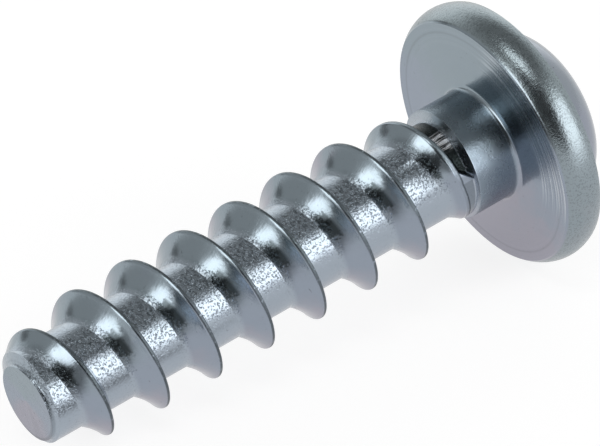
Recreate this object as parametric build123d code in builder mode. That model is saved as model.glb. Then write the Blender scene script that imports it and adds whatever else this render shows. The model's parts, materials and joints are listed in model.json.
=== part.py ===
# Flanged pan-head thread-forming screw, 5 x 20, cold formed and rolled as one piece.
# Sizes are in millimetres and angles in degrees. The screw is drawn upright on its own
# axis: the bearing face of the flange at height 0, the head above it, the tip below it.
# It is then laid down as it comes to rest, on the rim of the flange and on its thread.
import os
from math import acos, cos, degrees, pi, radians, sin, sqrt

from build123d import *

# Thread
thread_diameter = 5.10
core_diameter = 3.40
pitch = 2.25
crest_width = 0.12
leading_flank_width = 0.80  # along the axis, on the side of the tip
trailing_flank_width = 0.34  # along the axis, on the side of the head
leading_flank_hollow = 0.08  # how far that flank curves in from a straight line
ridge_root_depth = 0.15  # how far the ridge is carried into the core

# Lengths along the axis under the head
length = 19.85
tip_growth_length = 3.00  # the thread grows to its full height over this length
tip_growth_power = 0.45  # under 1, so that it grows quickly at first
tip_growth_sink = 0.10  # how far the crest lies under the core where it starts
fade_start = 4.60  # distance under the head where the thread starts to fade
fade_end = 2.40  # distance under the head where it is down to the run-out
fade_power = 0.50  # under 1, so that it sinks quickly at last
run_out_crest_width = 0.22
run_out_sink = 0.12  # how far the run-out lies under the surface of the shank
run_out_start = 2.48  # distance under the head where the crest starts to fill the groove
run_out_end = 2.38
run_out_spread = 0.55  # how much wider the crest is then, towards the head

# Shank and tip
shank_diameter = 4.20
shank_length = 1.75
shoulder_length = 0.13
head_fillet = 0.20
tip_chamfer_across = 0.30
tip_chamfer_along = 0.17

# Flange, with a rim of one round
flange_diameter = 10.00
flange_thickness = 1.40
rim_radius = 1.18
rim_mid_height = 0.82  # height of the widest ring of the rim

# Crown of the head: an edge round that runs into a domed top
crown_diameter = 7.00
crown_foot_height = 1.50  # the top of the flange rises to the crown as a flat cone
crown_height = 2.25  # from its foot to the top that the dome would have unpierced
crown_edge_radius = 1.80

# Six-lobed drive recess
recess_lobes = 6
recess_across_lobes = 4.50
recess_across_flutes = 3.25
flute_radius = 0.90
lobe_corner_radius = 0.25
recess_depth = 2.15  # from the unpierced top of the dome to the tip of the floor cone
recess_cone_depth = 0.50
recess_cone_tip_diameter = 0.80

# Lying at rest
down_angle = 76.0  # direction round the axis, from the start of the thread, that faces down

# Fineness of the ridge
sections_per_turn = 20

thread_radius = thread_diameter / 2
core_radius = core_diameter / 2
shank_radius = shank_diameter / 2
flange_radius = flange_diameter / 2
crown_radius = crown_diameter / 2
ridge_foot = core_radius - ridge_root_depth
ridge_depth = thread_radius - ridge_foot
foot_share = ridge_depth / (thread_radius - core_radius)
leading_foot = crest_width / 2 + leading_flank_width * foot_share
trailing_foot = crest_width / 2 + trailing_flank_width * foot_share
ridge_start = -length - leading_flank_width / 2
ridge_end = -shank_length + leading_flank_width - run_out_sink  # all under the shank


def share(value, start, end):
    """How far a value is on its way from start to end, from 0 to 1."""
    return min(max((value - start) / (end - start), 0), 1)


def standing(height):
    """Share of its height that the crest still has on its way to the run-out."""
    return share(-height, fade_end, fade_start) ** fade_power


def crest_radius(height):
    """Radius of the crest at a height: it grows from the tip and sinks at the shank."""
    growth = share(height, -length, tip_growth_length - length) ** tip_growth_power
    buried = core_radius - tip_growth_sink
    grown = buried + (thread_radius - buried) * growth
    run_out = shank_radius - run_out_sink
    faded = run_out + (thread_radius - run_out) * standing(height)
    return min(grown, faded)


def ridge_section(turn):
    """The ridge in the half plane that it crosses after so many turns: x is outwards."""
    angle = 2 * pi * turn
    height = ridge_start + pitch * turn
    section_plane = Plane(
        origin=(0, 0, height),
        x_dir=(cos(angle), sin(angle), 0),
        z_dir=(sin(angle), -cos(angle), 0),
    )
    crest = crest_radius(height)
    width = run_out_crest_width + (crest_width - run_out_crest_width) * standing(height)
    spread = run_out_spread * share(height, -run_out_start, -run_out_end)
    low_crest = Vector(crest, -width / 2)
    high_crest = Vector(crest, width / 2 + spread)
    low_foot = Vector(ridge_foot, -leading_foot)
    high_foot = Vector(ridge_foot, trailing_foot + spread)
    inwards = Vector(low_foot.Y - low_crest.Y, crest - ridge_foot).normalized()
    hollow = leading_flank_hollow * (crest - ridge_foot) / ridge_depth
    with BuildSketch(section_plane) as section:
        with BuildLine():
            Line(high_crest, low_crest)
            ThreePointArc(low_crest, (low_crest + low_foot) / 2 + inwards * hollow, low_foot)
            Line(low_foot, high_foot)
            Line(high_foot, high_crest)
        make_face()
    return section.sketch


def resting_tilt():
    """Angle of the axis to the floor when the rim and the first crest to land touch it."""
    down_turn = (down_angle / 360) % 1
    turns_facing_down = [down_turn + whole for whole in range(int(length / pitch))]

    def gap(tilt):
        """How far the thread stays above the floor with the rim resting on it."""
        across, along = cos(radians(tilt)), sin(radians(tilt))
        rim = (flange_radius - rim_radius) * across - rim_mid_height * along + rim_radius
        reaches = []
        for turn in turns_facing_down:
            height = ridge_start + pitch * turn
            if height > -length:
                reaches.append(crest_radius(height) * across - height * along)
        return rim - max(reaches)

    low, high = 0.0, 45.0
    for _ in range(40):
        middle = (low + high) / 2
        if gap(middle) > 0:
            low = middle
        else:
            high = middle
    return low


# The ridge of the thread is a skin through sections set round the axis on a helix. Its
# foot keeps its width, and its crest grows from the tip and sinks towards the shank.
section_count = round((ridge_end - ridge_start) / pitch * sections_per_turn) + 1
with BuildPart() as ridge:
    loft([ridge_section(index / sections_per_turn) for index in range(section_count)], ruled=True)
    split(bisect_by=Plane.XY.offset(-length), keep=Keep.TOP)

# The rim is an arc about a ring inside the flange.
rim_ring = flange_radius - rim_radius
bearing_radius = rim_ring + sqrt(rim_radius**2 - rim_mid_height**2)
rim_top_radius = rim_ring + sqrt(rim_radius**2 - (flange_thickness - rim_mid_height) ** 2)

# The dome's centre lies on the axis, where its sphere touches the round of the edge.
edge_ring = crown_radius - crown_edge_radius
dome_radius = (edge_ring**2 + crown_height**2 - crown_edge_radius**2) / (
    2 * (crown_height - crown_edge_radius)
)
dome_top = crown_foot_height + crown_height
edge_turn = degrees(acos(edge_ring / (dome_radius - crown_edge_radius)))

with BuildPart() as upright:
    # Core, shank, flange and crown are one turned outline.
    with BuildSketch(Plane.XZ):
        with BuildLine():
            Polyline(
                (0, dome_top),
                (0, -length),
                (core_radius, -length),
                (core_radius, -shank_length - shoulder_length),
                (shank_radius, -shank_length),
                (shank_radius, -head_fillet),
            )
            RadiusArc((shank_radius, -head_fillet), (shank_radius + head_fillet, 0), head_fillet)
            Line((shank_radius + head_fillet, 0), (bearing_radius, 0))
            ThreePointArc(
                (bearing_radius, 0),
                (flange_radius, rim_mid_height),
                (rim_top_radius, flange_thickness),
            )
            Line((rim_top_radius, flange_thickness), (crown_radius, crown_foot_height))
            CenterArc((edge_ring, crown_foot_height), crown_edge_radius, 0, edge_turn)
            CenterArc((0, dome_top - dome_radius), dome_radius, edge_turn, 90 - edge_turn)
        make_face()
    revolve(axis=Axis.Z)
    add(ridge.part)

    # The chamfer of the tip also trims the start of the ridge.
    chamfer_slope = tip_chamfer_along / tip_chamfer_across
    chamfer_top = -length + (flange_radius - core_radius + tip_chamfer_across) * chamfer_slope
    with BuildSketch(Plane.XZ):
        Polygon(
            (core_radius - tip_chamfer_across, -length),
            (flange_radius, -length),
            (flange_radius, chamfer_top),
            align=None,
        )
    revolve(axis=Axis.Z, mode=Mode.SUBTRACT)

    # The drive recess is a six-lobed socket with a shallow cone for a floor.
    recess_floor = dome_top - recess_depth + recess_cone_depth
    with BuildSketch(Plane.XY.offset(dome_top)) as recess:
        Circle(recess_across_lobes / 2)
        with PolarLocations(recess_across_flutes / 2 + flute_radius, recess_lobes):
            Circle(flute_radius, mode=Mode.SUBTRACT)
        fillet(recess.vertices(), lobe_corner_radius)
    extrude(amount=recess_floor - dome_top, mode=Mode.SUBTRACT)
    with Locations((0, 0, recess_floor - recess_cone_depth / 2)):
        Cone(
            bottom_radius=recess_cone_tip_diameter / 2,
            top_radius=recess_across_flutes / 2,
            height=recess_cone_depth,
            mode=Mode.SUBTRACT,
        )

# Laid down: the head towards +X and the tip towards -X, a little lower than the head.
# The screw is first turned so that the chosen side of the thread faces down.
tilt = resting_tilt()
with BuildPart() as lying:
    add(upright.part.rotate(Axis.Z, -down_angle).rotate(Axis.Y, 90 - tilt))
lowest = lying.part.bounding_box()
with BuildPart() as screw:
    with Locations((-lowest.center().X, -lowest.center().Y, -lowest.min.Z)):
        add(lying.part)

print("tilt", round(tilt, 3), "degrees; volume", round(screw.part.volume, 2), "cubic millimetres")
os.makedirs("parts", exist_ok=True)
screw.part.label = "screw"
export_step(screw.part, "parts/screw.step")
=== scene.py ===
# %% [markdown]
# A flanged pan-head screw in bright zinc
#
# The real screw is one piece of steel wire. A die upsets the head, rolls squeeze the
# thread out of the shank, and a thin zinc coat makes it bright. This file builds it in
# the same order: a turned body, a rolled ridge, a pressed drive recess, and the coat.

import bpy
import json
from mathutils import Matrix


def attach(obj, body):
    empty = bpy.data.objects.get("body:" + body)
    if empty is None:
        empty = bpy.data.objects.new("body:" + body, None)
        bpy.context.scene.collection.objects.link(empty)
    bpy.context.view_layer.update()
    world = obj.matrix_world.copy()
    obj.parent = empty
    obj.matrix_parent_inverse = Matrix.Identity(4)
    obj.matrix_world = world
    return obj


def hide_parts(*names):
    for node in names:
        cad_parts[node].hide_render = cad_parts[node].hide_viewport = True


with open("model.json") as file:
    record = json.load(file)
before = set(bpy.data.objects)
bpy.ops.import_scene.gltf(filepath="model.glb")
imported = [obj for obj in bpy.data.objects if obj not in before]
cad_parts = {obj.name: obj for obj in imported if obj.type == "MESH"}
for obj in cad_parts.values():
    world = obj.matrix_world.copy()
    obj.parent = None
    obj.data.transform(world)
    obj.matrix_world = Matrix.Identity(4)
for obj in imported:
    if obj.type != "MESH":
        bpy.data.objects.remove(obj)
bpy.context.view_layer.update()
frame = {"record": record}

# %% Libraries
import json
from math import acos, atan2, cos, degrees, pi, radians, sin, sqrt, tau

import bmesh
import bpy
from mathutils import Matrix, Vector

# %% [markdown]
# Sizes
#
# The screw is 24 mm long, and Blender's merge and bisect tools are made for things the
# size of a hand. So it is modelled at one unit to the millimetre, upright on its own axis,
# and only the finished piece is shrunk to metres. Height 0 is the face that clamps.

# %% Sizes of the thread, in millimetres
thread_radius = 2.55
core_radius = 1.70
pitch = 2.25
length = 19.85
crest_width = 0.12
crest_round = 0.035
leading_flank_width = 0.80  # along the axis, on the side of the tip
trailing_flank_width = 0.34  # along the axis, on the side of the head
leading_flank_hollow = 0.08
ridge_depth = 1.00  # from the crest to the foot inside the core
print("crest to root", round(thread_radius - core_radius, 3), "mm")

# %% Sizes of the shank and the head, in millimetres
shank_radius = 2.10
shank_length = 1.75
shoulder_length = 0.13
head_fillet = 0.20
flange_radius = 5.00
flange_thickness = 1.40
rim_radius = 1.18
rim_mid_height = 0.82
crown_radius = 3.50
crown_foot_height = 1.50
crown_height = 2.25
crown_edge_radius = 1.80
dome_top = crown_foot_height + crown_height
print("head", 2 * flange_radius, "mm across,", dome_top, "mm high")

# %% Fineness of the meshes
steps_per_turn = 96
flank_steps = 14
same_place = 0.0005  # points closer than this, in millimetres, are one point
print("one step round the crest is", round(tau * thread_radius / steps_per_turn, 3), "mm")

# %% [markdown]
# Small helpers
#
# An operator acts on everything that is selected. So each step first clears the
# selection, and then picks points, edges or faces by where they are. A modifier could
# stay live on a piece, but an applied one leaves a plain mesh that the next step can cut.


# %% Helpers that open and close a piece
def deselect_objects():
    """Leave nothing selected and nothing in edit mode."""
    if bpy.context.mode != "OBJECT":
        bpy.ops.object.mode_set(mode="OBJECT")
    bpy.ops.object.select_all(action="DESELECT")


def pick(piece):
    """Make a piece the only selected object, and the active one."""
    deselect_objects()
    bpy.context.view_layer.objects.active = piece
    piece.select_set(True)


def edit(piece, action="SELECT"):
    """Open a piece in edit mode with everything in it selected, or with nothing."""
    pick(piece)
    bpy.ops.object.mode_set(mode="EDIT")
    bpy.ops.mesh.select_all(action=action)


def close_edit():
    """Go back to object mode."""
    bpy.ops.object.mode_set(mode="OBJECT")


# %% Helpers that merge, cut and measure a piece
def apply_modifier(piece, kind, **settings):
    """Add a modifier with these settings and apply it at once."""
    pick(piece)
    modifier = piece.modifiers.new(kind.title(), kind)
    for name, value in settings.items():
        setattr(modifier, name, value)
    bpy.ops.object.modifier_apply(modifier=modifier.name)


def combine(piece, tool, operation):
    """Add a tool to a piece or cut it out of the piece, and throw the tool away."""
    apply_modifier(piece, "BOOLEAN", object=tool, operation=operation, solver="EXACT")
    bpy.data.objects.remove(tool)


def tidy_mesh(piece, reach=same_place):
    """Merge points that meet and turn every face outwards."""
    edit(piece)
    bpy.ops.mesh.remove_doubles(threshold=reach)
    bpy.ops.mesh.normals_make_consistent(inside=False)
    close_edit()


def report(piece):
    """Print how large a piece is and whether it is closed."""
    shape = bmesh.new()
    shape.from_mesh(piece.data)
    open_edges = sum(1 for line in shape.edges if len(line.link_faces) != 2)
    volume = shape.calc_volume()
    triangles = sum(len(face.verts) - 2 for face in shape.faces)
    shape.free()
    print(f"{piece.name}: {triangles} triangles, {open_edges} open edges, volume {volume:.3f}")


# %% [markdown]
# Outlines
#
# A turned or rolled form is its outline carried round an axis. A turner would draw that
# outline as straight runs and arcs, and so does this file: a plane is merged to a single
# point, and the point is extruded from place to place. Blender's curve objects could
# draw it as well, but an extruded point is a mesh from the start, ready for the spin.


# %% Draw an outline by extruding one point
def draw_outline(name, points):
    """A chain of edges through (radius, height) pairs in the XZ plane."""
    deselect_objects()
    bpy.ops.mesh.primitive_plane_add(size=1, location=(0, 0, 0))
    piece = bpy.context.object
    piece.name = name
    piece.data.name = name
    bpy.ops.object.mode_set(mode="EDIT")
    bpy.ops.mesh.select_mode(type="VERT")
    bpy.ops.mesh.select_all(action="SELECT")
    bpy.ops.mesh.merge(type="CENTER")
    here = points[0]
    bpy.ops.transform.translate(value=(here[0], 0, here[1]))
    for there in points[1:]:
        step = (there[0] - here[0], 0, there[1] - here[1])
        bpy.ops.mesh.extrude_region_move(TRANSFORM_OT_translate={"value": step})
        here = there
    close_edit()
    return piece


def draw_loop(name, points):
    """The same chain, closed: it runs back to its first point and is merged there."""
    piece = draw_outline(name, points + points[:1])
    edit(piece)
    bpy.ops.mesh.remove_doubles(threshold=same_place)
    close_edit()
    return piece


# %% Arcs in an outline, and the spin that makes an outline round
def on_circle(centre, radius, angle):
    """The point of a circle at an angle in degrees."""
    return (centre[0] + radius * cos(radians(angle)), centre[1] + radius * sin(radians(angle)))


def arc(centre, radius, start, end, steps):
    """Points on an arc from one angle to another, in degrees, both ends included."""
    angles = [start + (end - start) * index / steps for index in range(steps + 1)]
    return [on_circle(centre, radius, angle) for angle in angles]


def spin_round(piece):
    """Carry an outline once round the axis and close the seam."""
    edit(piece)
    bpy.ops.mesh.spin(steps=steps_per_turn, angle=tau, center=(0, 0, 0), axis=(0, 0, 1))
    close_edit()
    tidy_mesh(piece)


# %% [markdown]
# The turned body
#
# Core, shank, flange and crown are all round about one axis, so they are one outline and
# one spin. Stacked cylinders would give the same sizes, but every round between them would
# then be a bevel. The rim is a single round that bulges past the clamping face, and the
# crown is an edge round that runs into a shallow dome.

# %% Arcs of the rim and the crown
rim_ring = flange_radius - rim_radius
rim_rise = flange_thickness - rim_mid_height
rim_low_angle = -degrees(atan2(rim_mid_height, sqrt(rim_radius**2 - rim_mid_height**2)))
rim_high_angle = degrees(atan2(rim_rise, sqrt(rim_radius**2 - rim_rise**2)))
edge_ring = crown_radius - crown_edge_radius
dome_radius = (edge_ring**2 + crown_height**2 - crown_edge_radius**2) / (
    2 * (crown_height - crown_edge_radius)
)
edge_turn = degrees(acos(edge_ring / (dome_radius - crown_edge_radius)))
print("dome radius", round(dome_radius, 2), "mm; its edge turns", round(edge_turn, 1), "degrees")

# %% Outline of the body, with a spare end for the ridge to run past
spare = 2 * pitch
body_outline = [(0, -length - spare), (core_radius, -length - spare)]
body_outline += [(core_radius, -shank_length - shoulder_length), (shank_radius, -shank_length)]
body_outline += arc((shank_radius + head_fillet, -head_fillet), head_fillet, 180, 90, 6)
body_outline += arc((rim_ring, rim_mid_height), rim_radius, rim_low_angle, rim_high_angle, 40)
body_outline += arc((edge_ring, crown_foot_height), crown_edge_radius, 0, edge_turn, 24)
body_outline += arc((0, dome_top - dome_radius), dome_radius, edge_turn, 90, 16)[1:]
print("body outline:", len(body_outline), "points")

# %% Spin the body
body = draw_outline("screw", body_outline)
spin_round(body)
report(body)

# %% [markdown]
# The rolled ridge
#
# The ridge is one outline carried round and up at once, which is what the Screw modifier
# does. An outline swept along a spiral curve would twist on its way. This one has a hollow
# flank on the side of the tip, a steeper one on the side of the head, and a narrow crest
# with rounded corners. It reaches into the core, so that the union which follows finds a
# clean line where the flanks leave the core.

# %% Corners of the ridge
flank_height = thread_radius - core_radius
slope_out = leading_flank_width / flank_height * ridge_depth
slope_back = trailing_flank_width / flank_height * ridge_depth
low_crest = Vector((thread_radius, -crest_width / 2))
high_crest = Vector((thread_radius, crest_width / 2))
low_foot = low_crest + Vector((-ridge_depth, -slope_out))
high_foot = high_crest + Vector((-ridge_depth, slope_back))
inwards = Vector((-slope_out, ridge_depth)).normalized()
print("foot of the ridge", round(high_foot.y - low_foot.y, 3), "mm wide")


# %% Outline of the ridge
def leading_flank(share):
    """A point on the hollow flank, from its foot (0) to the crest (1)."""
    hollow = 4 * leading_flank_hollow * share * (1 - share)
    return tuple(low_foot.lerp(low_crest, share) + inwards * hollow)


ridge_outline = [leading_flank(index / flank_steps) for index in range(flank_steps + 1)]
ridge_outline += [tuple(high_crest.lerp(high_foot, index / 6)) for index in range(7)]
ridge_outline += [tuple(high_foot.lerp(low_foot, 0.5)), tuple(low_foot)]
print("ridge outline:", len(ridge_outline), "points")


# %% Round the crest
def select_points(piece, wanted):
    """Select the points of a piece in edit mode whose place passes the test."""
    bpy.ops.mesh.select_mode(type="VERT")
    points = bmesh.from_edit_mesh(piece.data)
    for vert in points.verts:
        vert.select = wanted(vert.co)
    points.select_flush(True)
    bmesh.update_edit_mesh(piece.data)


ridge = draw_outline("ridge", ridge_outline)
tidy_mesh(ridge)
edit(ridge, "DESELECT")
select_points(ridge, lambda place: place.x > thread_radius - 0.001)
bpy.ops.mesh.bevel(affect="VERTICES", offset=crest_round, segments=3)
close_edit()
print("outline with a round crest:", len(ridge.data.vertices), "points")

# %% Carry the ridge round the axis
ridge_start = -length - leading_flank_width / 2
ridge_turns = int((length + spare) / pitch)
edit(ridge)
bpy.ops.transform.translate(value=(0, 0, ridge_start - pitch))
close_edit()
apply_modifier(
    ridge,
    "SCREW",
    angle=tau,
    screw_offset=pitch,
    iterations=ridge_turns,
    steps=steps_per_turn,
    render_steps=steps_per_turn,
    use_normal_calculate=True,
)
report(ridge)

# %% [markdown]
# Where the thread begins and ends
#
# Rolls don't start a thread at full height. At the tip it grows over the first turn, and
# under the head it sinks into a low run-out that fills the groove. The foot of the ridge
# keeps its width all the way. Proportional editing could pull those turns in by hand, but
# not evenly, so here every point is moved towards the axis by an exact share.

# %% Sizes of the growth and the run-out, in millimetres
tip_growth_length = 3.00
tip_growth_power = 0.45  # under 1, so that the crest grows quickly at first
tip_growth_sink = 0.10
fade_start = 4.60
fade_end = 2.40
fade_power = 0.50  # under 1, so that the crest sinks quickly at last
run_out_crest_width = 0.22
run_out_sink = 0.12
run_out_start = 2.48
run_out_end = 2.38
run_out_spread = 0.55
print("full height from", round(length - tip_growth_length, 2), "to", fade_start, "mm down")


# %% How high the crest stands
def share_of(value, start, end):
    """How far a value is on its way from start to end, from 0 to 1."""
    return min(max((value - start) / (end - start), 0), 1)


def standing_at(height):
    """Share of its height that the crest still has on its way to the run-out."""
    return share_of(-height, fade_end, fade_start) ** fade_power


def crest_at(height):
    """Radius of the crest where its middle is at this height."""
    buried = core_radius - tip_growth_sink
    growth = share_of(height, -length, tip_growth_length - length) ** tip_growth_power
    run_out = shank_radius - run_out_sink
    faded = run_out + (thread_radius - run_out) * standing_at(height)
    return min(buried + (thread_radius - buried) * growth, faded)


def crest_height_of(place):
    """Height of the middle of the crest in the half plane that a point lies in."""
    around = atan2(place.y, place.x) / tau
    over_crest = (place.z - ridge_start - pitch * around) % pitch
    if over_crest > crest_width + slope_back:
        over_crest -= pitch
    return place.z - over_crest


print("crest 1 mm from the tip at radius", round(crest_at(1 - length), 2), "mm")

# %% Lower the first and the last turns
ridge_foot = thread_radius - ridge_depth
for vert in ridge.data.vertices:
    crest_height = crest_height_of(vert.co)
    from_axis = Vector((vert.co.x, vert.co.y)).length
    up_flank = (from_axis - ridge_foot) / ridge_depth
    shrink = (crest_at(crest_height) - ridge_foot) / ridge_depth
    lowered = ridge_foot + (from_axis - ridge_foot) * shrink
    wider = (run_out_crest_width - crest_width) / 2 * (1 - standing_at(crest_height)) * up_flank
    spread = run_out_spread * share_of(crest_height, -run_out_start, -run_out_end)
    vert.co.x *= lowered / from_axis
    vert.co.y *= lowered / from_axis
    vert.co.z += wider + spread if vert.co.z > crest_height else -wider
edit(ridge)
bpy.ops.mesh.fill_holes(sides=0)
bpy.ops.mesh.normals_make_consistent(inside=False)
close_edit()
report(ridge)

# %% [markdown]
# One piece of metal, cut square
#
# On the real screw the ridge is squeezed out of the core, with no joint between them. Two
# meshes that only overlap would look joined, but would not be one solid. A union leaves a
# single skin, and a bisect then takes off the spare end where the wire was sheared.

# %% Fuse the ridge with the body and cut the tip square
combine(body, ridge, "UNION")
edit(body)
bpy.ops.mesh.bisect(
    plane_co=(0, 0, -length), plane_no=(0, 0, -1), clear_outer=True, use_fill=True, threshold=0.0001
)
close_edit()
tidy_mesh(body, 0.0002)
report(body)

# %% [markdown]
# The round of the tip
#
# The sheared end is rounded, and so is the start of the ridge. A bevel would stumble over
# the ridge, so a ring with a rounded inside is cut away instead. On this screw the round
# is wider on one side of the tip than on the other, so the ring is set a little off centre.

# %% Outline of the trimming ring
tip_round_across = 0.28
tip_round_along = 0.18
ring_below = 0.5
ring_above = 1.9
trim_outline = [(core_radius - tip_round_across, -length - ring_below)]
for angle in range(0, 61, 10):
    across, along = on_circle((0, 0), 1, angle)
    trim_outline.append(
        (core_radius - tip_round_across * across, -length + tip_round_along * along)
    )
trim_outline += [(flange_radius, -length + ring_above), (flange_radius, -length - ring_below)]
print("trim outline:", len(trim_outline), "points")

# %% Trim the tip
off_centre = 0.12
off_centre_side = 43
trim = draw_loop("trim", trim_outline)
spin_round(trim)
edit(trim)
bpy.ops.transform.translate(value=(*on_circle((0, 0), off_centre, off_centre_side), 0))
close_edit()
report(trim)
combine(body, trim, "DIFFERENCE")
report(body)

# %% [markdown]
# The drive recess
#
# A punch with six lobes presses the socket into the crown. Its outline is made of arcs
# only: a lobe, a corner round, a flute and a corner round, six times over. The outline is
# filled and extruded to a bar, and the bar is taken out of the head. The floor of the
# socket is the shallow cone that the point of the punch leaves. Six small cylinders could
# cut the lobes, but would leave sharp corners that no punch can press.

# %% Sizes of the recess, in millimetres
lobes = 6
recess_across_lobes = 4.50
recess_across_flutes = 3.25
flute_radius = 0.90
lobe_corner_round = 0.25
recess_depth = 2.15
recess_cone_depth = 0.50
recess_cone_tip_radius = 0.40
recess_floor = dome_top - recess_depth + recess_cone_depth
print("straight walls", round(dome_top - recess_floor, 2), "mm deep under the dome's top")

# %% Where the arcs of the punch meet
lobe_step = 360 / lobes
lobe_radius = recess_across_lobes / 2
flute_ring = recess_across_flutes / 2 + flute_radius
corner_ring = lobe_radius - lobe_corner_round
to_flute = flute_radius + lobe_corner_round
corner_turn = degrees(
    acos((corner_ring**2 + flute_ring**2 - to_flute**2) / (2 * corner_ring * flute_ring))
)
print("a corner round lies", round(corner_turn, 2), "degrees beside the middle of its flute")


# %% Outline of the punch
def flute_and_lobe(middle):
    """One corner round, flute, corner round and lobe, from a flute at this angle on."""
    flute_centre = on_circle((0, 0), flute_ring, middle)
    first = on_circle((0, 0), corner_ring, middle - corner_turn)
    second = on_circle((0, 0), corner_ring, middle + corner_turn)
    entry, leaving = [
        degrees(atan2(corner[1] - flute_centre[1], corner[0] - flute_centre[0]))
        for corner in (first, second)
    ]
    start = middle - corner_turn
    swing = (entry + 180 - start) % 360
    flute_swing = (entry - leaving) % 360
    outward = leaving + 180
    lobe_start, lobe_end = middle + corner_turn, middle + lobe_step - corner_turn
    points = arc(first, lobe_corner_round, start, start + swing, 5)
    points += arc(flute_centre, flute_radius, entry, entry - flute_swing, 16)[1:]
    points += arc(second, lobe_corner_round, outward, outward + swing, 5)[1:]
    return points + arc((0, 0), lobe_radius, lobe_start, lobe_end, 4)[1:-1]


punch_outline = []
for flute in range(lobes):
    punch_outline += flute_and_lobe(lobe_step * flute)
print("punch outline:", len(punch_outline), "points")

# %% Make the punch: fill the outline, draw it out to a bar and stand it on the floor
punch_height = 2.0
punch = draw_loop("punch", punch_outline)
edit(punch)
bpy.ops.mesh.edge_face_add()
bpy.ops.mesh.extrude_region_move(TRANSFORM_OT_translate={"value": (0, punch_height, 0)})
close_edit()
punch.data.transform(Matrix.Translation((0, 0, recess_floor)) @ Matrix.Rotation(pi / 2, 4, "X"))
tidy_mesh(punch)
report(punch)

# %% Press the recess into the crown
combine(body, punch, "DIFFERENCE")
cone_spare = 0.05
cone_slope = (recess_across_flutes / 2 - recess_cone_tip_radius) / recess_cone_depth
deselect_objects()
bpy.ops.mesh.primitive_cone_add(
    vertices=96,
    radius1=recess_cone_tip_radius,
    radius2=recess_across_flutes / 2 + cone_slope * cone_spare,
    depth=recess_cone_depth + cone_spare,
    location=(0, 0, recess_floor - (recess_cone_depth - cone_spare) / 2),
)
punch_point = bpy.context.object
bpy.ops.object.transform_apply(location=True)
combine(body, punch_point, "DIFFERENCE")
report(body)

# %% [markdown]
# Lay the screw down
#
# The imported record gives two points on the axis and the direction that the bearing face
# looks. From these the finished piece is turned, shrunk to metres and set in its place.
# The object itself could be moved, but the place has to be in the mesh, because patterns
# on Object coordinates are measured from the object's origin.

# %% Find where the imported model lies
mounts = {mount["name"]: mount for mount in frame["record"]["mounts"]}
to_head = -Vector(mounts["bearing_face"]["axis"])
on_axis = Vector(mounts["thread"]["pos_m"])
face_place = Vector(mounts["bearing_face"]["pos_m"])
face_centre = on_axis + to_head * (face_place - on_axis).dot(to_head)
tilt = atan2(to_head.z, to_head.x)
print("axis rises", round(degrees(tilt), 2), "degrees; face centre", face_centre)

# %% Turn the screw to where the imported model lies
down_angle = radians(76)  # side of the thread that faces the floor
lay_down = (
    Matrix.Translation(face_centre)
    @ Matrix.Rotation(pi / 2 - tilt, 4, "Y")
    @ Matrix.Rotation(-down_angle, 4, "Z")
    @ Matrix.Scale(0.001, 4)
)
body.data.transform(lay_down)
pick(body)
bpy.ops.object.shade_smooth_by_angle(angle=radians(30))
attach(body, "root")
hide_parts("screw")
body.name = "zinc_screw"
print("laid down:", [round(size * 1000, 2) for size in body.dimensions], "mm")

# %% [markdown]
# Shader sums
#
# Masks and patterns are sums on numbers that vary over a surface. Written as nodes one by
# one they are hard to read, so a small class lets them be written as ordinary sums. Each
# sign adds the Math node that it stands for, and every other node comes from one method.


# %% A class for shader sums
class Value:
    """The output of a node, which can be added, multiplied and so on."""

    def __init__(self, graph, socket):
        self.graph = graph
        self.socket = socket

    def math(self, operation, *inputs):
        return self.graph.node("ShaderNodeMath", {"operation": operation}, dict(enumerate(inputs)))

    def __add__(self, other):
        return self.math("ADD", self, other)

    def __radd__(self, other):
        return self.math("ADD", other, self)

    def __sub__(self, other):
        return self.math("SUBTRACT", self, other)

    def __rsub__(self, other):
        return self.math("SUBTRACT", other, self)

    def __mul__(self, other):
        return self.math("MULTIPLY", self, other)

    def __rmul__(self, other):
        return self.math("MULTIPLY", other, self)

    def __truediv__(self, other):
        return self.math("DIVIDE", self, other)

    def __pow__(self, other):
        return self.math("POWER", self, other)


# %% One method that makes nodes
class Graph:
    """The nodes of one material or of the world."""

    def __init__(self, tree):
        self.tree = tree

    def node(self, kind, settings=None, inputs=None, output=0):
        """Add a node, set it up, fill its sockets, and return one of its outputs."""
        made = self.tree.nodes.new(kind)
        for name, value in (settings or {}).items():
            setattr(made, name, value)
        for name, value in (inputs or {}).items():
            if isinstance(value, Value):
                self.tree.links.new(value.socket, made.inputs[name])
            else:
                made.inputs[name].default_value = value
        return Value(self, made.outputs[output])

    def vector(self, operation, first, second=(0, 0, 0), output="Value"):
        """Vector Math on two vectors, for its number or, with another output, its vector."""
        settings = {"operation": operation}
        return self.node("ShaderNodeVectorMath", settings, {0: first, 1: second}, output)

    def mix(self, share, low, high):
        """A colour between two others."""
        settings = {"data_type": "RGBA", "clamp_factor": True}
        return self.node("ShaderNodeMix", settings, {0: share, 6: low, 7: high}, output=2)

    def ramp(self, value, low, high):
        """A smooth step from 0 where the value is low to 1 where it is high."""
        settings = {"interpolation_type": "SMOOTHSTEP"}
        return self.node("ShaderNodeMapRange", settings, {0: value, 1: low, 2: high})

    def band(self, value, low, high, soft):
        """1 between two values and 0 outside, with soft ends."""
        return self.ramp(value, low - soft, low + soft) * self.ramp(value, high + soft, high - soft)


# %% [markdown]
# Where a point of the surface lies on the screw
#
# Every mark on a real screw follows its axis: grain in the roots, streaks up the flanks,
# turning rings on the clamping face. A UV map would need seams along the thread. So the
# material works out, from the Object coordinates, how high a point lies, how far from the
# axis, and how far above the crest of the ridge. All are in millimetres, as in the drawing.

# %% Measure along the axes of the drawing
zinc = bpy.data.materials.new("zinc")
zinc.use_nodes = True
coat = Graph(zinc.node_tree)
place = coat.node("ShaderNodeTexCoord", output="Object")
from_face = coat.vector("SUBTRACT", place, face_centre, output="Vector")
laid = lay_down.to_3x3()


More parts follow.
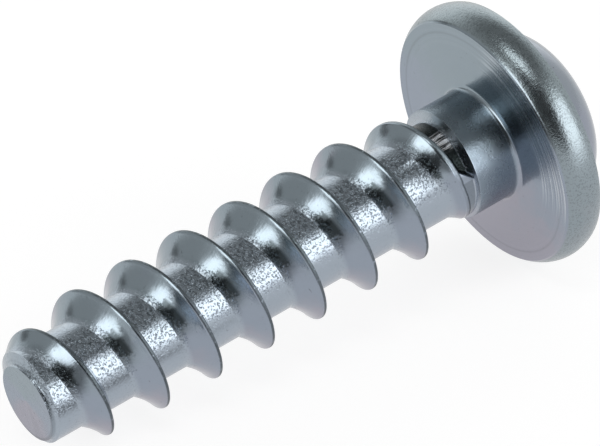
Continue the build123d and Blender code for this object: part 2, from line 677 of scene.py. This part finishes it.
def along_axis(axis):
    """Millimetres along one axis of the screw as it was drawn."""
    return coat.vector("DOT_PRODUCT", from_face, (laid @ Vector(axis)).normalized() * 1000)


across_x = along_axis((1, 0, 0))
across_y = along_axis((0, 1, 0))
height = along_axis((0, 0, 1))
print("to measure a place takes", len(zinc.node_tree.nodes), "nodes")

# %% Radius and distance to the crest, as shader values
radius = (across_x * across_x + across_y * across_y) ** 0.5
turn = across_y.math("ARCTAN2", across_y, across_x) / tau
past_crest = height - ridge_start - pitch * turn + pitch / 2
above_crest = past_crest.math("FLOORED_MODULO", past_crest, pitch) - pitch / 2


def facing(turns):
    """1 on the side of the screw at this share of a turn, and -1 on the side opposite."""
    return (across_x * cos(turns * tau) + across_y * sin(turns * tau)) / radius


print("the crest repeats every", pitch, "mm")

# %% [markdown]
# Patterns
#
# Three patterns make all the marks: a grain with no direction, from the crystals of the
# zinc, streaks that run up the flanks, from the rolls, and rings about the axis, from the
# die that pressed the face. A photograph laid over the metal would show its own light and
# its edges. Noise on the measured places has neither, and can be as fine as it needs.


# %% Grain, streaks and rings
def noise(point, scale, settings):
    """Noise at a point made of three numbers."""
    spot = coat.node("ShaderNodeCombineXYZ", inputs=dict(enumerate(point)))
    return coat.node("ShaderNodeTexNoise", inputs={"Vector": spot, "Scale": scale, **settings})


def grain(size, detail=2):
    """Noise of this size in millimetres, the same in all directions."""
    settings = {"Detail": detail, "Roughness": 0.6}
    return noise((across_x, across_y, height), 1 / size, settings)


def streaks(count, streak_length):
    """Noise in fine lines that point away from the axis, so many to a turn."""
    around = count / tau
    point = (
        across_x / radius * around,
        across_y / radius * around,
        (radius + height) / streak_length,
    )
    return noise(point, 1.0, {"Detail": 2.0})


def rings(size):
    """Noise in fine circles about the axis, as a lathe or a die leaves them."""
    drift = 0.05  # so that a circle slowly changes on its way round
    return noise((radius / size, across_x * drift, across_y * drift), 1.0, {"Detail": 3.0})


fine = grain(0.080, 3)
coarse = grain(0.35)
roll_lines = streaks(150, 0.8)
die_rings = rings(0.075)
print("finest grain", round(0.080 / 2**3, 3), "mm")

# %% [markdown]
# Zones of the screw
#
# Rolls, dies and air leave their marks on different parts of the screw. Each part could
# have its own material, but then a hard line would run between them. So there is one
# material, with a mask for each part: 1 on it, 0 off it, and a soft step between.

# %% Masks of the thread
on_thread = coat.band(height, -length + 0.02, -shank_length - 0.06, 0.03)
in_root = on_thread * coat.ramp(radius, core_radius + 0.16, core_radius + 0.02)
near_root = on_thread * coat.ramp(radius, core_radius + 0.24, core_radius + 0.05)
on_crest = on_thread * coat.band(above_crest, -0.045, 0.10, 0.02)
on_flank = on_thread * (1 - in_root) * (1 - on_crest)
on_tip = coat.ramp(height, -length + 0.06, -length + 0.02)
print("the thread starts", round(shank_length + 0.06, 2), "mm under the head")

# %% Masks of the shank and the head
shoulder_end = -shank_length - shoulder_length
on_shoulder = coat.band(height, shoulder_end, -shank_length, 0.02)
on_shank = coat.band(height, -shank_length, -head_fillet / 2, 0.05) * coat.ramp(radius, 2.6, 2.4)
on_face = coat.band(height, -0.06, 0.03, 0.02) * coat.ramp(radius, 2.3, 2.4)
on_rim = coat.ramp(height, 0.03, 0.1) * coat.ramp(radius, 3.9, 4.1)
on_crown = coat.ramp(height, crown_foot_height - 0.03, crown_foot_height + 0.05)
print("zones so far take", len(zinc.node_tree.nodes), "nodes")

# %% Mask of the groove that the run-out leaves beside the shoulder, and of the shade painted in it
# The groove's near-black is painted shade that stands for a dark mirror image.
groove_shade_side = -0.15  # in turns: the dark of the groove is deepest on this side
groove_and_painted_shade = on_thread * coat.ramp(height, -2.75, -2.60) * coat.ramp(radius, 2.00, 1.93)
groove_and_painted_shade = groove_and_painted_shade * coat.ramp(above_crest, 0.05, 0.12)
groove_and_painted_shade = groove_and_painted_shade * coat.ramp(height, shoulder_end + 0.01, shoulder_end - 0.03)
# painted shade: deepest on the side that faces the camera
groove_and_painted_shade = groove_and_painted_shade * (0.3 + 0.7 * coat.ramp(facing(groove_shade_side), -0.1, 0.4))
print("groove from", 2.75, "to", round(-shoulder_end, 2), "mm under the head")

# %% [markdown]
# Relief
#
# The rolls leave the flanks smooth and the roots rough. Where the metal is torn in the
# roots there are small, steep pits, which mirror dark and bright places side by side. A
# strong even noise would only blur to grey from afar, so the pits are few and sharp. This
# relief is far too fine for the mesh, so it goes through a Bump node.

# %% Pits in the roots and rings on the clamping face
torn_side = -0.17
ringed_side = -0.12
upper_roots = 0.2 + 0.8 * coat.ramp(facing(torn_side), 0.70, 0.90)
pits = upper_roots * coat.ramp(grain(0.085), 0.53, 0.65)
ring_share = 0.03 + 0.97 * coat.ramp(facing(ringed_side), 0.60, 0.90)
ring_share = coat.ramp(radius, 3.0, 3.6) * ring_share
relief = on_flank * 0.002 * roll_lines - near_root * 0.018 * pits
relief = relief + on_face * 0.016 * ring_share * die_rings
print("pits 0.018 mm deep, rings 0.016 mm high")

# %% Grain and waves, in millimetres
grain_and_waves = (
    (near_root, 0.010, 0.006),
    (on_flank, 0.0015, 0.004),
    (on_crest, 0.020, 0),
    (on_shank, 0.004, 0.006),
    (on_face, 0.0015, 0),
    (on_rim, 0.010, 0.006),
    (on_crown, 0.002, 0.006),
    (on_tip, 0.003, 0.005),
)
for zone, grain_height, wave_height in grain_and_waves:
    relief = relief + zone * (grain_height * fine + wave_height * coarse)
bump = coat.node("ShaderNodeBump", inputs={"Height": relief, "Distance": 0.001, "Strength": 1.0})
print("relief of", len(grain_and_waves), "zones")

# %% [markdown]
# Tints
#
# A blue passivated zinc coat is so thin that it tints the light, like oil on water: blue
# for the most part, a little rose on one side and a little green on the other. The share
# of each comes from the side of the screw, made uneven by a slow noise. One flat colour
# would look painted.

# %% Blue, rose and green
blue = (0.318, 0.363, 0.430, 1)
rose = (0.372, 0.366, 0.425, 1)
green = (0.30, 0.36, 0.40, 1)
rose_side = -0.41
lower = facing(down_angle / tau) + 1.6 * (grain(1.6, 3) - 0.5)
rose_share = coat.ramp(lower, 0.1, 0.9) + on_thread * coat.ramp(facing(rose_side), 0.7, 1)
colour = coat.mix(rose_share, blue, rose)
colour = coat.mix(coat.ramp(lower, -0.1, -0.9), colour, green)
print("blue, rose and green:", blue[:3], rose[:3], green[:3])

# %% Tints of single zones, and painted highlights on the die rings
# The die rings are real relief; their light lines are painted highlights, mostly on the side where
# the rings are deep
painted_ring_highlights = 0.6 * on_face * ring_share * coat.ramp(die_rings, 0.50, 0.62)
zone_tints = (
    (0.3 * on_crown, rose),
    (0.6 * in_root, (0.43, 0.49, 0.55, 1)),
    (0.7 * on_rim, (0.30, 0.355, 0.37, 1)),
    (0.4 * on_shank, (0.27, 0.355, 0.43, 1)),
    (painted_ring_highlights, (0.8, 0.85, 0.9, 1)),
)
for share, tint in zone_tints:
    colour = coat.mix(share, colour, tint)
print(len(zone_tints), "zones with a tint of their own")

# %% [markdown]
# Where the zinc is dull, and where shade is painted
#
# The coat loses its shine where it is rubbed: along the crest, in the pits, and in specks all
# over. Dull places could be rougher only, but on this screw they are darker too. Shade is
# painted into the same sum: a thin dark line in the crease at the foot of the crown, and
# one on the rounded edge of the tip. Their masks are added up, and the sum then mixes one
# dark grey into the colour.

# %% Specks and crest, and painted shade at the foot of the crown and the edge of the tip
worn_line = coat.ramp(height, -3.2, -2.9) * coat.band(above_crest, -0.05, 0.05, 0.03)
crest_dirt = on_crest * coat.ramp(grain(0.16), 0.70, 0.58) * (1 - worn_line)
rim_dirt = on_rim * coat.ramp(fine, 0.50, 0.38)
specks = coat.ramp(grain(0.14), 0.68, 0.74)
# painted shade: a thin dark line in the crease where the crown rises from the rim
crown_foot_shade = coat.band(radius, crown_radius - 0.03, crown_radius + 0.05, 0.03)
crown_foot_shade = crown_foot_shade * coat.band(height, 1.4, 1.56, 0.04)
# painted shade: a dark line on the rounded edge of the tip
tip_edge_shade = coat.ramp(height, -length + 0.2, -length + 0.1)
tip_edge_shade = tip_edge_shade * coat.band(radius, 1.43, 1.56, 0.04)
outer_ring = on_face * coat.band(radius, 4.27, 4.35, 0.03)
# dull places and painted shade in one sum
dull_and_painted_shade = crest_dirt + 0.12 * near_root * pits + 0.35 * rim_dirt + 0.5 * specks
dull_and_painted_shade = dull_and_painted_shade + 0.5 * crown_foot_shade + 0.4 * tip_edge_shade + 0.2 * outer_ring
# the painted shade of the groove joins the sum here
dull_and_painted_shade = dull_and_painted_shade + 0.28 * on_shank + 0.12 * on_crown + 1.3 * groove_and_painted_shade
print("dull places take the coat to", len(zinc.node_tree.nodes), "nodes")

# %% [markdown]
# Dark patches between the turns
#
# On each turn, the foot of the long flank has a dark patch with a ragged edge, and the
# root beside it is peppered with dark grains. On the real screw they are probably mirror
# images of something dark in the room. Lights alone didn't give them their size here, so
# a part of them is painted, on the side that faces the camera.

# %% Painted shade: a patch at the foot of the flank, and pepper in the root
painted_patch_side = -0.155
painted_pepper_side = -0.215
ragged = 0.10 * (grain(0.10) - 0.5)
painted_foot_shade = on_thread * coat.ramp(above_crest, -0.34, -0.46)
painted_foot_shade = painted_foot_shade * coat.ramp(radius + 1.5 * ragged, core_radius, core_radius + 0.06)
painted_foot_shade = painted_foot_shade * coat.ramp(facing(painted_patch_side) + ragged, 0.950, 0.978)
painted_root_pepper = in_root * coat.ramp(facing(painted_pepper_side), 0.90, 0.98) * coat.ramp(grain(0.11), 0.50, 0.60)
# painted shade joins the dull places, and together they mix a dark grey into the colour
dull_and_painted_shade = dull_and_painted_shade + 1.1 * painted_foot_shade + 0.65 * painted_root_pepper
colour = coat.mix(0.75 * dull_and_painted_shade, colour, (0.06, 0.075, 0.08, 1))
print("patches and pepper take the coat to", len(zinc.node_tree.nodes), "nodes")

# %% [markdown]
# The groove beside the shoulder
#
# Between the last turn and the shoulder the rolls leave a short groove. Its near-black is
# painted shade that stands for a dark mirror image, deepest on the side that faces the
# camera. A few nicks across it, as if the metal was scraped, are painted bright as glints on
# that side, and the shoulder beside it is polished. The nicks could be cut into the mesh,
# but they are finer than a tenth of a millimetre, so narrow streaks colour them in.

# %% Painted shade in the groove, painted glints on its nicks, and the polished shoulder
nick_glint_side = -0.215
painted_nick_glints = groove_and_painted_shade * coat.ramp(facing(nick_glint_side), 0.955, 0.985)
painted_nick_glints = painted_nick_glints * coat.ramp(streaks(230, 0.6), 0.44, 0.58)
colour = coat.mix(0.25 * on_shoulder, colour, (0.8, 0.84, 0.9, 1))
# painted shade: the groove turns nearly black
colour = coat.mix(0.85 * groove_and_painted_shade, colour, (0.015, 0.02, 0.02, 1))
# painted highlight: bright glints on the nicks
colour = coat.mix(painted_nick_glints, colour, (0.95, 0.97, 1, 1))
print("the whole colour takes", len(zinc.node_tree.nodes), "nodes")

# %% [markdown]
# Roughness, and the finished zinc
#
# Bright zinc is a fairly sharp mirror. It is softer on the shank, the crest and the ringed
# part of the face, where something rubbed it. Two materials could be mixed for that, but
# one material whose roughness is a sum is easier to change.

# %% Roughness
extra_roughness = (
    (0.12, on_shank),
    (0.08, on_rim),
    (0.25, on_crest),
    (0.10, on_tip),
    (0.12, on_face * ring_share),
    (0.12, groove_and_painted_shade),
    (0.12, on_shoulder),
)
rough = 0.13 + 0.05 * coat.ramp(coarse, 0.35, 0.65)
for extra, zone in extra_roughness:
    rough = rough + extra * zone
print("roughness from 0.13 to", 0.13 + 0.05 + 0.25)

# %% Zinc
shader = zinc.node_tree.nodes["Principled BSDF"]
shader.inputs["Metallic"].default_value = 1
for name, value in (("Base Color", colour), ("Roughness", rough), ("Normal", bump)):
    zinc.node_tree.links.new(value.socket, shader.inputs[name])
body.data.materials.clear()
body.data.materials.append(zinc)
print("zinc:", len(zinc.node_tree.nodes), "nodes")

# %% [markdown]
# Camera
#
# The screw is seen from the side of its tip and a little from above, with a long lens, so
# that it hardly narrows towards the head. A camera could track an empty, but then its roll
# would be lost. Here three turns aim it: about the vertical, downwards, and about its view.

# %% Camera
view_azimuth = radians(55.698)
view_down = radians(29.516)
view_roll = radians(-3.633)
deselect_objects()
bpy.ops.object.camera_add(location=(-0.106825, -0.156768, 0.112045))
camera = bpy.context.object
aim = (
    Matrix.Rotation(view_azimuth - pi / 2, 4, "Z")
    @ Matrix.Rotation(pi / 2 - view_down, 4, "X")
    @ Matrix.Rotation(view_roll, 4, "Z")
)
camera.rotation_euler = aim.to_euler()
camera.data.lens = 377.9
camera.data.sensor_width = 36
camera.data.clip_start = 0.01
bpy.context.scene.camera = camera
print("camera", round(camera.location.length * 1000), "mm from the middle of the screw")

# %% [markdown]
# Studio light
#
# A mirror shows only what stands round it, so the look of bright metal is made by the room.
# Here that is pale walls that darken towards the ceiling, one large dark screen behind the
# camera, which draws the deep shades of the flanks, and five soft boxes, which draw the
# highlights. Lamps could light it too, but would add a hard spark on every curve.


# %% A soft panel in the room
def direction_to(azimuth, elevation):
    """Unit vector towards an azimuth from +X and an elevation, in degrees."""
    level = cos(radians(elevation))
    return Vector(
        (level * cos(radians(azimuth)), level * sin(radians(azimuth)), sin(radians(elevation)))
    )


def soft_panel(azimuth, elevation, width, tallness, edge):
    """Mask of a panel with rounded corners and soft edges, seen from the screw."""
    centre = direction_to(azimuth, elevation)
    side = direction_to(azimuth + 90, 0)
    up = centre.cross(side)
    across = studio.vector("DOT_PRODUCT", look, side) / sin(radians(width / 2))
    along = studio.vector("DOT_PRODUCT", look, up) / sin(radians(tallness / 2))
    in_front = studio.ramp(studio.vector("DOT_PRODUCT", look, centre), 0, 0.1)
    return studio.ramp((across**4 + along**4) ** 0.25, 1 + edge, 1 - edge) * in_front


# %% Walls, dark screens and soft boxes
world = bpy.data.worlds.new("studio")
bpy.context.scene.world = world
world.use_nodes = True
studio = Graph(world.node_tree)
look = studio.node("ShaderNodeTexCoord", output="Generated")
rise = studio.node("ShaderNodeSeparateXYZ", inputs={0: look}, output="Z")
dark_screens = (  # share of the wall's light that it takes, then its place and size
    (0.92, (-128, 9, 76, 84, 0.12)),
    (0.38, (140, 22, 50, 42, 0.3)),
    (0.65, (112.5, 9, 14, 16, 0.5)),
)
soft_boxes = (  # strength, then its place and size
    (0.45, (62, 9, 72, 54, 0.3)),
    (1.75, (-64, 10, 48, 60, 0.12)),
    (1.95, (-175, 17, 26, 32, 0.25)),
    (1.0, (-174, 38, 22, 14, 0.3)),
    (2.5, (-143, 73, 28, 16, 0.2)),
)
light = 0.80 - 0.55 * studio.ramp(rise, 0.45, 0.85)
for share, panel in dark_screens:
    light = light * (1 - share * soft_panel(*panel))
for strength, panel in soft_boxes:
    light = light + strength * soft_panel(*panel)
background = world.node_tree.nodes["Background"]
background.inputs["Color"].default_value = (1, 1, 1, 1)
world.node_tree.links.new(light.socket, background.inputs["Strength"])
print("room:", len(dark_screens), "dark screens and", len(soft_boxes), "soft boxes")

# %% [markdown]
# Floor
#
# The screw lies on white paper. To the camera, the paper is a clean white that keeps a
# faint shadow. In the mirror of the zinc it is a light of its own, and there it has two
# areas more: a dark card close to the screw, which draws the dark side of the roots, and
# a bright sheet further out. Both could be real planes, but the camera would see them.

# %% Paper, and how it is seen
deselect_objects()
bpy.ops.mesh.primitive_plane_add(size=4, location=(0, 0, 0))
floor = bpy.context.object
floor.name = "floor"
white = bpy.data.materials.new("floor")
white.use_nodes = True
paper = Graph(white.node_tree)
path = white.node_tree.nodes.new("ShaderNodeLightPath")
seen, mirrored, through = [
    Value(paper, path.outputs[f"Is {ray} Ray"]) for ray in ("Camera", "Glossy", "Transmission")
]
glow = 0.7 * (seen + mirrored + through)
print("floor", floor.dimensions.x, "m wide")

# %% Dark card and bright sheet, which only the mirror of the zinc shows
spot = paper.node("ShaderNodeTexCoord", output="Object")
depth = paper.node("ShaderNodeSeparateXYZ", inputs={0: spot}, output="Y")


def part_of_floor(corner, azimuth, narrow, wide):
    """Mask of a fan on the floor, spread from a corner about an azimuth."""
    offset = paper.vector("SUBTRACT", spot, corner, output="Vector")
    toward = paper.vector("DOT_PRODUCT", offset, direction_to(azimuth, 0))
    return paper.ramp(toward / paper.vector("LENGTH", offset), narrow, wide)


card = part_of_floor((0.004, 0, 0), -159, 0.84, 0.96) * paper.ramp(depth, -0.0035, -0.0075)
sheet = part_of_floor((0, 0, 0), -62, 0.80, 0.95) * paper.ramp(depth, -0.022, -0.055)
whiteness = 1.0 + 0.19 * seen + mirrored * (0.9 * sheet - 0.85 * card)
print("floor:", len(white.node_tree.nodes), "nodes so far")

# %% Matt paper mixed with its glow
matt = white.node_tree.nodes["Principled BSDF"]
matt.inputs["Base Color"].default_value = (0.9, 0.9, 0.9, 1)
matt.inputs["Roughness"].default_value = 0.9
bright = white.node_tree.nodes.new("ShaderNodeEmission")
blend = white.node_tree.nodes.new("ShaderNodeMixShader")
surface = white.node_tree.nodes["Material Output"].inputs["Surface"]
for start, end in (
    (whiteness.socket, bright.inputs["Color"]),
    (glow.socket, blend.inputs[0]),
    (matt.outputs[0], blend.inputs[1]),
    (bright.outputs[0], blend.inputs[2]),
    (blend.outputs[0], surface),
):
    white.node_tree.links.new(start, end)
floor.data.materials.append(white)
bpy.context.scene.view_settings.view_transform = "Standard"
print("floor:", len(white.node_tree.nodes), "nodes")
